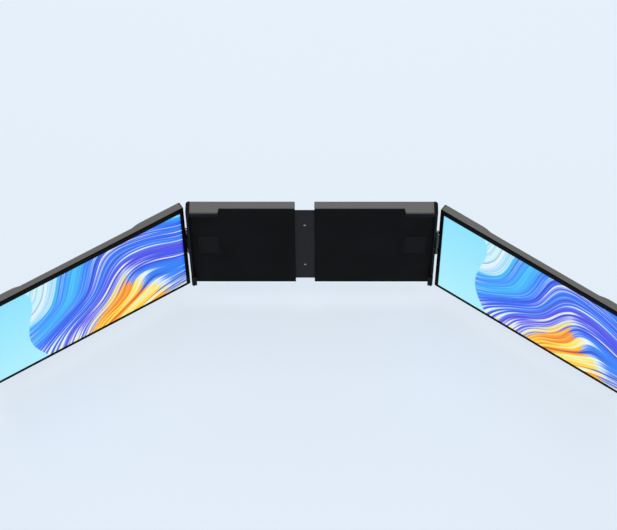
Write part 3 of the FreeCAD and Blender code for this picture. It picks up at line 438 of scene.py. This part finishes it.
pictureColours = {
    "sky": (172, 240, 255),
    "ice": (236, 252, 255),
    "cyan": (62, 196, 252),
    "azure": (28, 130, 254),
    "blue": (34, 84, 240),
    "violet": (88, 60, 230),
    "amber": (255, 158, 14),
    "gold": (255, 232, 44),
    "rust": (206, 72, 12),
    "indigo": (30, 24, 168),
    "mist": (140, 226, 255),
}
pictureLook = {
    # slow drift and the sway of the ribbons across the screen
    "driftScale": 1.35, "driftDetail": 0.3, "driftShare": 0.8,
    "swayRate": 3.9, "swayStart": 0.4, "slant": -0.62,
    # strands are fine and broad noise, stretched along the ribbons: how dense, how long and how detailed
    "fine": (1.0, 1.3, 3.0), "broad": (0.28, 0.9, 2.0), "broadShare": 0.55,
    "ribbons": [(0.00, "indigo"), (0.14, "azure"), (0.24, "blue"), (0.34, "violet"), (0.42, "azure"),
                (0.49, "blue"), (0.56, "azure"), (0.64, "cyan"), (0.71, "azure"), (0.80, "cyan"),
                (0.90, "ice"), (1.00, "sky")],
    "darkSteps": (0.47, 0.30), "darkShare": 0.75, "gleamSteps": (0.51, 0.68), "gleamPlaces": (0.40, 0.58),
    # the warm crest: its middle along the screen, how fast it falls off, its height, the strands' pull
    "crestMiddle": 1.12, "crestFall": 2.6, "crestHeight": 0.56, "crestPull": 0.9, "warmContrast": 1.6,
    "warm": [(0.20, "rust"), (0.42, "amber"), (0.58, "gold"), (0.80, "ice")],
    "haloSteps": (-0.20, 0.02), "haloPlaces": (0.36, 0.62), "crestSteps": (0.0, 0.06),
    # the calm field's border
    "borderRate": 4.2, "borderStart": 0.9, "borderSwing": 0.17, "borderLean": 0.34, "borderDrift": 0.3,
    "borderSteps": (-0.004, 0.006),
}


def pictureGroup(look, colours):
    # abstract combed ribbons: the coordinate runs 0 to 1.62 along the screen, 0 to 1 up it
    group, given, out = newTree("ribbonPicture", "Shader", [
        ("Vector", "Vector"), ("Fold", "Float", 0.26), ("Strands", "Float", 34.0),
        ("Calm Reach", "Float", 0.53)], [("Colour", "Color")])
    parts = node(group, "ShaderNodeSeparateXYZ", {0: given["Vector"]})
    u, v = parts.outputs[0], parts.outputs[1]

    def wave(value, rate, start):
        return maths(group, "SINE", maths(group, "MULTIPLY_ADD", value, rate, start))

    def centred(value):
        return maths(group, "SUBTRACT", value, 0.5)

    def stops(rows):
        return [(place, colours[name]) for place, name in rows]

    drift = centred(noise(group, given["Vector"], look["driftScale"], look["driftDetail"]))
    sway = maths(group, "MULTIPLY", wave(u, look["swayRate"], look["swayStart"]), given["Fold"])
    lift = maths(group, "MULTIPLY_ADD", drift, look["driftShare"], sway)
    across = maths(group, "ADD", maths(group, "MULTIPLY_ADD", u, look["slant"], v), lift)

    def combed(density, along, detail):
        rate = maths(group, "MULTIPLY", maths(group, "MULTIPLY", across, given["Strands"]), density)
        place = node(group, "ShaderNodeCombineXYZ", {0: maths(group, "MULTIPLY", u, along), 1: rate})
        return noise(group, place.outputs[0], 1.0, detail)

    strands, broad = combed(*look["fine"]), combed(*look["broad"])
    shade = maths(group, "MULTIPLY_ADD", centred(broad), look["broadShare"], across)
    body = ramp(group, maths(group, "MULTIPLY_ADD", shade, 0.5, 0.5, clamp=True), stops(look["ribbons"]))
    dark = maths(group, "MULTIPLY", softStep(group, strands, *look["darkSteps"]), look["darkShare"])
    body = blend(group, dark, body, rgba(colours["indigo"]))
    gleam = maths(group, "MULTIPLY", softStep(group, strands, *look["gleamSteps"]),
                  softStep(group, broad, *look["gleamPlaces"]))
    body = blend(group, gleam, body, rgba(colours["ice"]))

    # a warm crest low down, its strands running the same way
    aside = maths(group, "ABSOLUTE", maths(group, "SUBTRACT", u, look["crestMiddle"]))
    middle = maths(group, "SUBTRACT", 1.0, maths(group, "MULTIPLY", aside, look["crestFall"]), clamp=True)
    above = maths(group, "SUBTRACT", maths(group, "MULTIPLY", middle, look["crestHeight"]), v)
    crest = maths(group, "MULTIPLY_ADD", centred(strands), look["crestPull"], above)
    heat = maths(group, "MULTIPLY_ADD", centred(strands), look["warmContrast"], 0.5, clamp=True)
    halo = maths(group, "MULTIPLY", softStep(group, crest, *look["haloSteps"]),
                 softStep(group, strands, *look["haloPlaces"]))
    body = blend(group, halo, body, rgba(colours["ice"]))
    inside = softStep(group, crest, *look["crestSteps"])
    body = blend(group, inside, body, ramp(group, heat, stops(look["warm"])))

    # a calm pale field at the near end, with a crisp curved border
    lean = maths(group, "MULTIPLY_ADD", v, look["borderLean"],
                 maths(group, "MULTIPLY_ADD", drift, look["borderDrift"], u))
    curve = wave(v, look["borderRate"], look["borderStart"])
    border = maths(group, "MULTIPLY_ADD", curve, look["borderSwing"], lean)
    calm = softStep(group, maths(group, "SUBTRACT", given["Calm Reach"], border), *look["borderSteps"])
    field = blend(group, v, rgba(colours["sky"]), rgba(colours["mist"]))
    group.links.new(blend(group, calm, body, field), out["Colour"])
    return group


ribbonPicture = pictureGroup(pictureLook, pictureColours)


def pictureCoordinate(tree, place, screen):
    # along and up the picture, as shares of its height
    turned = brought(tree, place, (*screen["pin"], pictureSize["bottom"]), screen["outward"])
    parts = node(tree, "ShaderNodeSeparateXYZ", {0: turned})
    along = maths(tree, "SUBTRACT", parts.outputs[0], screen["start"])
    out = maths(tree, "DIVIDE", along, pictureSize["height"])
    if screen["flip"]:
        out = maths(tree, "SUBTRACT", pictureSize["length"] / pictureSize["height"], out)
    up = maths(tree, "DIVIDE", parts.outputs[2], pictureSize["height"])
    return node(tree, "ShaderNodeCombineXYZ", {0: out, 1: up, 2: 0.0}).outputs[0]


glassLook = {
    "glow": 0.95, "dark": (6, 6, 8), "lessDark": (14, 14, 17), "smearScale": 18.0, "smearDetail": 4.0,
    "Roughness Low": 0.10, "Roughness High": 0.22, "specular": 0.25,
}


def litGlass(side, look):
    material, tree, shader, place = newMaterial(f"litGlass{side.title()}")
    picture = node(tree, "ShaderNodeGroup", {"Vector": pictureCoordinate(tree, place, screens[side])},
                   node_tree=ribbonPicture)
    tree.links.new(picture.outputs["Colour"], shader.inputs["Emission Color"])
    smear = noise(tree, place, look["smearScale"], look["smearDetail"])
    rough = spread(tree, smear, look["Roughness Low"], look["Roughness High"])
    tree.links.new(rough, shader.inputs["Roughness"])
    colour = blend(tree, smear, rgba(look["dark"]), rgba(look["lessDark"]))
    tree.links.new(colour, shader.inputs["Base Color"])
    shader.inputs["Emission Strength"].default_value = look["glow"]
    shader.inputs["Specular IOR Level"].default_value = look["specular"]
    return material


boardLook = {
    "green": (12, 74, 38), "track": (38, 118, 62), "pad": (198, 190, 160),
    "trackScale": 260.0, "trackBend": 3.0, "trackDetail": 1.0, "trackShare": 0.62,
    "gateScale": 60.0, "gateDetail": 1.0, "gateShare": 0.5, "padScale": 240.0, "padRadius": 0.16,
    "Roughness Low": 0.32, "Roughness High": 0.5, "bump": 0.4, "relief": 0.00004,
}


def boardMaterial(look):
    # a board with tracks, which are fine stripes gated by slow patches, and pale pads
    material, tree, shader, place = newMaterial("greenBoard")
    stripes = node(tree, "ShaderNodeTexWave", {
        "Vector": place, "Scale": look["trackScale"], "Distortion": look["trackBend"],
        "Detail": look["trackDetail"]}, bands_direction="Z")
    gate = noise(tree, place, look["gateScale"], look["gateDetail"])
    stripe = maths(tree, "GREATER_THAN", stripes.outputs["Fac"], look["trackShare"])
    track = maths(tree, "MULTIPLY", stripe, maths(tree, "GREATER_THAN", gate, look["gateShare"]))
    dots = node(tree, "ShaderNodeTexVoronoi", {"Vector": place, "Scale": look["padScale"]})
    pad = maths(tree, "LESS_THAN", dots.outputs["Distance"], look["padRadius"])
    colour = blend(tree, track, rgba(look["green"]), rgba(look["track"]))
    tree.links.new(blend(tree, pad, colour, rgba(look["pad"])), shader.inputs["Base Color"])
    rough = spread(tree, track, look["Roughness Low"], look["Roughness High"])
    tree.links.new(rough, shader.inputs["Roughness"])
    addBump(tree, shader, track, look)
    return material


finish["litLeft"] = litGlass("left", glassLook)
finish["litRight"] = litGlass("right", glassLook)
finish["greenBoard"] = boardMaterial(boardLook)

nodeFinish = {
    "back_cover": "greyShell", "screen_case": "greyShell",
    "front_plate": "blackInside", "end_frame": "blackFrame", "hook": "blackFrame",
    "bezel": "blackBezel", "power_button": "blackFrame", "menu_button": "blackFrame",
    "speakers": "blackInside", "grip_pads": "softRubber", "glides": "paleNylon",
    "hinge_fixed_leaf": "blackHinge", "hinge_screen_leaf": "blackHinge",
    "hinge_pin": "turnedSteel", "cover_screws": "turnedSteel", "lcd_panel": "panelBack",
    "driver_board": "greenBoard", "usb_c_sockets": "drawnSteel", "mini_hdmi_socket": "drawnSteel",
    "channel_upper": "drawnSteel", "channel_lower": "drawnSteel",
    "slide_rail_upper": "drawnSteel", "slide_rail_lower": "drawnSteel", "rail_rivets": "drawnSteel",
    "centre_plate": "darkPlate",
}
wearAndShadeNodes = ("back_cover", "screen_case", "end_frame", "bezel")  # pieces with rubbed edges and a painted shade rim
turnedNodes = ("screen_case", "bezel")  # those of them that stand at the screen's angle
shadeRimEnd = 0.0012  # how far the painted shade rim reaches past its own width at a screen's near end


# the box for a piece's rubbed wear and painted shade rim; a turned piece's box stands at its screen's
# angle
def wearAndShadeBox(name, side, bare):
    if bare not in turnedNodes:
        low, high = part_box(name)
        return {"place": (0, 0, 0), "turn": 0.0, "low": tuple(low), "high": tuple(high)}
    screen = screens[side]
    faces = sorted((screen["front"], screen["back"]))
    return {"place": (*screen["pin"], 0.0), "turn": screen["outward"],
            "low": (screen["near"] + shadeRimEnd, faces[0], screenLevels["bottom"]),
            "high": (screen["far"], faces[1], screenLevels["top"])}


def dressNodes(table):
    for name, piece in nodes.items():
        side = "left" if name.startswith("left") else "right"
        bare = name.removeprefix("left_").removeprefix("right_")
        if bare == "display_glass":
            chosen = finish[f"lit{side.title()}"]
        elif bare in wearAndShadeNodes:
            look = table[bare]
            chosen = grainMaterial(f"{look}_{name}", grainLooks[look], wearAndShadeBox(name, side, bare))
        else:
            chosen = finish[table[bare]]
        piece.data.materials.clear()
        piece.data.materials.append(chosen)


dressNodes(nodeFinish)
print("materials given to", len(nodes), "nodes")


def endLayout(tree, geometry, given, out):
    real = node(tree, "GeometryNodeRealizeInstances", {"Geometry": geometry})
    painted = node(tree, "GeometryNodeSetMaterial", {
        "Geometry": real.outputs[0], "Material": given["Material"]})
    tree.links.new(painted.outputs[0], out["Geometry"])
    return tree


def gridLayout():
    # the piece at the four corners of an upright rectangle
    tree, given, out = newTree("cornerGrid", "Geometry", [
        ("Geometry", "Geometry"), ("Width", "Float", 0.01), ("Height", "Float", 0.1), ("Centre", "Vector"),
        ("Material", "Material")], [("Geometry", "Geometry")])
    grid = node(tree, "GeometryNodeMeshGrid", {
        "Size X": given["Width"], "Size Y": given["Height"], "Vertices X": 2, "Vertices Y": 2})
    upright = node(tree, "GeometryNodeTransform", {
        "Geometry": grid.outputs["Mesh"], "Translation": given["Centre"],
        "Rotation": (math.radians(90), 0, 0)})
    placed = node(tree, "GeometryNodeInstanceOnPoints", {
        "Points": upright.outputs[0], "Instance": given["Geometry"]})
    return endLayout(tree, placed.outputs[0], given, out)


leastSize = 1e-6  # a slab smaller than this is none


def rowLayout():
    # a base slab with a row of ribs on it; without a slab where its size is nothing
    tree, given, out = newTree("ribRow", "Geometry", [
        ("Geometry", "Geometry"), ("Base Size", "Vector", (0.0, 0.0, 0.0)), ("Base Centre", "Vector"),
        ("Count", "Int", 8), ("First", "Vector"), ("Step", "Vector"),
        ("Rib Size", "Vector", (0.01, 0.001, 0.001)), ("Turn", "Rotation"), ("Material", "Material")],
        [("Geometry", "Geometry")])
    line = node(tree, "GeometryNodeMeshLine", {
        "Count": given["Count"], "Start Location": given["First"], "Offset": given["Step"]}, mode="OFFSET")
    placed = node(tree, "GeometryNodeInstanceOnPoints", {
        "Points": line.outputs[0], "Instance": given["Geometry"], "Rotation": given["Turn"],
        "Scale": given["Rib Size"]})
    slab = node(tree, "GeometryNodeMeshCube", {"Size": given["Base Size"]})
    seated = node(tree, "GeometryNodeTransform", {
        "Geometry": slab.outputs["Mesh"], "Translation": given["Base Centre"]})
    size = node(tree, "ShaderNodeVectorMath", {0: given["Base Size"]}, operation="LENGTH")
    present = maths(tree, "GREATER_THAN", size.outputs["Value"], leastSize)
    wanted = node(tree, "GeometryNodeSwitch", {
        "Switch": present, "True": seated.outputs[0]}, input_type="GEOMETRY")
    joined = node(tree, "GeometryNodeJoinGeometry")
    tree.links.new(placed.outputs[0], joined.inputs[0])
    tree.links.new(wanted.outputs[0], joined.inputs[0])
    return endLayout(tree, joined.outputs[0], given, out)


def laidOut(unit, tree, values):
    # one evaluated layout as a plain mesh
    holder = bpy.data.objects.new("layoutHolder", unit)
    bpy.context.scene.collection.objects.link(holder)
    layout = holder.modifiers.new("layout", "NODES")
    layout.node_group = tree
    sockets = {s.name: s.identifier for s in tree.interface.items_tree if s.in_out == "INPUT"}
    for label, value in values.items():
        layout[sockets[label]] = value
    made = bpy.data.meshes.new_from_object(holder.evaluated_get(bpy.context.evaluated_depsgraph_get()))
    bpy.data.objects.remove(holder)
    return made


def meshOf(built, name):
    made = bpy.data.meshes.new(name)
    built.to_mesh(made)
    built.free()
    return made


def finishedPiece(name, meshes, material, body, stands=()):
    whole = bmesh.new()
    for mesh in meshes:
        whole.from_mesh(mesh)
    for face in whole.faces:
        face.material_index = 0
    merged = meshOf(whole, name)
    merged.materials.clear()
    merged.materials.append(material)
    piece = bpy.data.objects.new(name, merged)
    bpy.context.scene.collection.objects.link(piece)
    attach(piece, body)
    if stands:
        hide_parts(*stands)
    return piece


# cover screws: a countersunk head with a cross recess, its face at the unit's own zero
screwLook = {
    "headRadius": 0.0021, "shankRadius": 0.0011, "headDepth": 0.0010, "length": 0.0073,
    "tipDraw": 0.0002, "tipRise": 0.0003, "rimSoft": 0.00008, "sides": 32,
    "crossHalf": 0.00026, "crossReach": 0.00125, "crossDepth": 0.0007, "crossTaper": 0.75,
    # where the four stand on the right half
    "column": 0.13740, "rear": 0.0122, "acrossPair": 0.0145, "upPair": 0.124, "middleHeight": -0.088,
}


def screwUnit(look):
    mesh = bmesh.new()
    sides, soft = look["sides"], look["rimSoft"]
    profile = [
        (look["shankRadius"] - look["tipDraw"], -look["length"]),
        (look["shankRadius"], -look["length"] + look["tipRise"]),
        (look["shankRadius"], -look["headDepth"]),
        (look["headRadius"] - soft, -soft),
        (look["headRadius"] - soft * 2, 0.0),
    ]
    angles = [math.tau * i / sides for i in range(sides)]
    rings = [[mesh.verts.new((r * math.cos(t), y, r * math.sin(t))) for t in angles] for r, y in profile]
    mesh.faces.new(rings[0])
    for low, high in zip(rings, rings[1:]):
        for i in range(sides):
            mesh.faces.new((low[i], low[i - 1], high[i - 1], high[i]))

    # the cross, one arm's corners turned by quarters
    a, b = look["crossHalf"], look["crossReach"]
    corners, outline = [(b, a), (a, a), (a, b)], []
    for quarter in range(4):
        outline += corners
        corners = [(-z, x) for x, z in corners]
    k = look["crossTaper"]
    mouth = [mesh.verts.new((x, 0.0, z)) for x, z in outline]
    floor = [mesh.verts.new((x * k, -look["crossDepth"], z * k)) for x, z in outline]
    for i in range(len(outline)):
        mesh.faces.new((mouth[i], mouth[i - 1], floor[i - 1], floor[i]))
    mesh.faces.new(floor)
    rim = [mesh.edges.get((rings[-1][i], rings[-1][i - 1])) for i in range(sides)]
    lip = [mesh.edges.get((mouth[i], mouth[i - 1])) for i in range(len(mouth))]
    bmesh.ops.triangle_fill(mesh, edges=rim + lip, use_beauty=True)
    bmesh.ops.recalc_face_normals(mesh, faces=mesh.faces)
    return meshOf(mesh, "screwUnit")


# a rib one unit long, wide and high: half its section, from the foot to the crest
ribSection = [(0.5, 0.0), (0.42, 0.55), (0.26, 0.92), (0.0, 1.0)]


def ribUnit(section):
    mesh = bmesh.new()
    other = [(-y, z) for y, z in reversed(section[1:-1])]
    shape = [(-section[0][0], section[0][1]), *section, *other]
    ends = [[mesh.verts.new((x, y, z)) for y, z in shape] for x in (-0.5, 0.5)]
    for i in range(len(shape)):
        mesh.faces.new((ends[0][i], ends[0][i - 1], ends[1][i - 1], ends[1][i]))
    mesh.faces.new(ends[0])
    mesh.faces.new(ends[1])
    bmesh.ops.recalc_face_normals(mesh, faces=mesh.faces)
    return meshOf(mesh, "ribUnit")


cornerGrid, ribRow = gridLayout(), rowLayout()
screw, rib = screwUnit(screwLook), ribUnit(ribSection)


def makeScrews(side, sign):
    look = screwLook
    mesh = laidOut(screw, cornerGrid, {
        "Width": look["acrossPair"], "Height": look["upPair"], "Material": finish["turnedSteel"],
        "Centre": (sign * look["column"], look["rear"], look["middleHeight"])})
    finishedPiece(f"{side}CoverScrews", [mesh], finish["turnedSteel"], f"{side}_half",
                  [f"{side}_cover_screws"])


# grip pads: ribbed strips of rubber, crests at the face that touches
padLook = {
    "baseShare": 0.5,
    "ribShare": 0.66,
    # each pad on the right half: its corners, the way it faces, the way its ribs run, their spacing
    "pads": [
        {"low": (0.11735, -0.0019, 0.0), "high": (0.14335, 0.0023, 0.0008),
         "faces": (0, 0, -1), "run": (0, 1, 0), "step": 0.0013},
        {"low": (0.11735, -0.0025, -0.0021), "high": (0.14335, -0.0021, 0.0),
         "faces": (0, 1, 0), "run": (0, 0, 1), "step": 0.0013},
        {"low": (0.11735, 0.0021, -0.1), "high": (0.14335, 0.0025, -0.06),
         "faces": (0, -1, 0), "run": (1, 0, 0), "step": 0.0016},
        {"low": (0.14975, -0.0025, -0.1698), "high": (0.15265, -0.0021, -0.1512),
         "faces": (0, 1, 0), "run": (1, 0, 0), "step": 0.0013},
    ],
}


def ribbedSlab(pad, sign, look, material):
    ends = sorted((sign * pad["low"][0], sign * pad["high"][0]))
    low, high = Vector((ends[0], *pad["low"][1:])), Vector((ends[1], *pad["high"][1:]))
    faces, run = Vector(pad["faces"]), Vector(pad["run"])
    over = faces.cross(run)
    size, middle = high - low, (low + high) / 2
    thick, long, wide = (abs(size.dot(way)) for way in (faces, run, over))
    ribHigh = thick * (1 - look["baseShare"])
    base = Vector([s * (look["baseShare"] if f else 1.0) for s, f in zip(size, faces)])
    count = int(wide / pad["step"])
    gap = wide / count
    first = middle - over * (wide - gap) / 2 + faces * (thick / 2 - ribHigh)
    return laidOut(rib, ribRow, {
        "Base Size": tuple(base), "Base Centre": tuple(middle - faces * ribHigh / 2),
        "Count": count, "First": tuple(first), "Step": tuple(over * gap),
        "Rib Size": (long, gap * look["ribShare"], ribHigh),
        "Turn": tuple(Matrix((run, over, faces)).transposed().to_euler()), "Material": material})


def makePads(side, sign):
    rubber = finish["softRubber"]
    meshes = [ribbedSlab(pad, sign, padLook, rubber) for pad in padLook["pads"]]
    finishedPiece(f"{side}GripPads", meshes, rubber, f"{side}_half", [f"{side}_grip_pads"])


# contacts on the sockets' tongues, both faces
contactLook = {
    "count": 12, "step": 0.0005, "long": 0.0034, "wide": 0.00026, "high": 0.00005,
    "tongueHalf": 0.00035,
    # the sockets' heights, and how far they lie from the screen's far end and front face
    "levels": (-0.1271, -0.1421), "fromEnd": 0.0032, "fromFace": 0.0071,
}


def makeContacts(side):
    look, screen = contactLook, screens[side]
    out = Vector((math.cos(screen["outward"]), math.sin(screen["outward"]), 0))
    across = Vector((-out.y, out.x, 0))
    inward = math.copysign(1.0, screen["back"] - screen["front"])
    depth = screen["front"] + inward * look["fromFace"]
    origin = Vector((*screen["pin"], 0)) + out * (screen["far"] - look["fromEnd"]) + across * depth
    back = across * inward
    meshes = []
    for level in look["levels"]:
        for way in (back, -back):
            over = way.cross(out)
            first = origin + Vector((0, 0, level)) + way * look["tongueHalf"]
            first -= over * look["step"] * (look["count"] - 1) / 2
            meshes.append(laidOut(rib, ribRow, {
                "Count": look["count"], "First": tuple(first), "Step": tuple(over * look["step"]),
                "Rib Size": (look["long"], look["wide"], look["high"]),
                "Turn": tuple(Matrix((out, over, way)).transposed().to_euler()),
                "Material": finish["contactGold"]}))
    finishedPiece(f"{side}Contacts", meshes, finish["contactGold"], f"{side}_screen")


for side, sign in (("left", -1), ("right", 1)):
    makeScrews(side, sign)
    makePads(side, sign)
    makeContacts(side)
    print("repeated pieces made:", side)
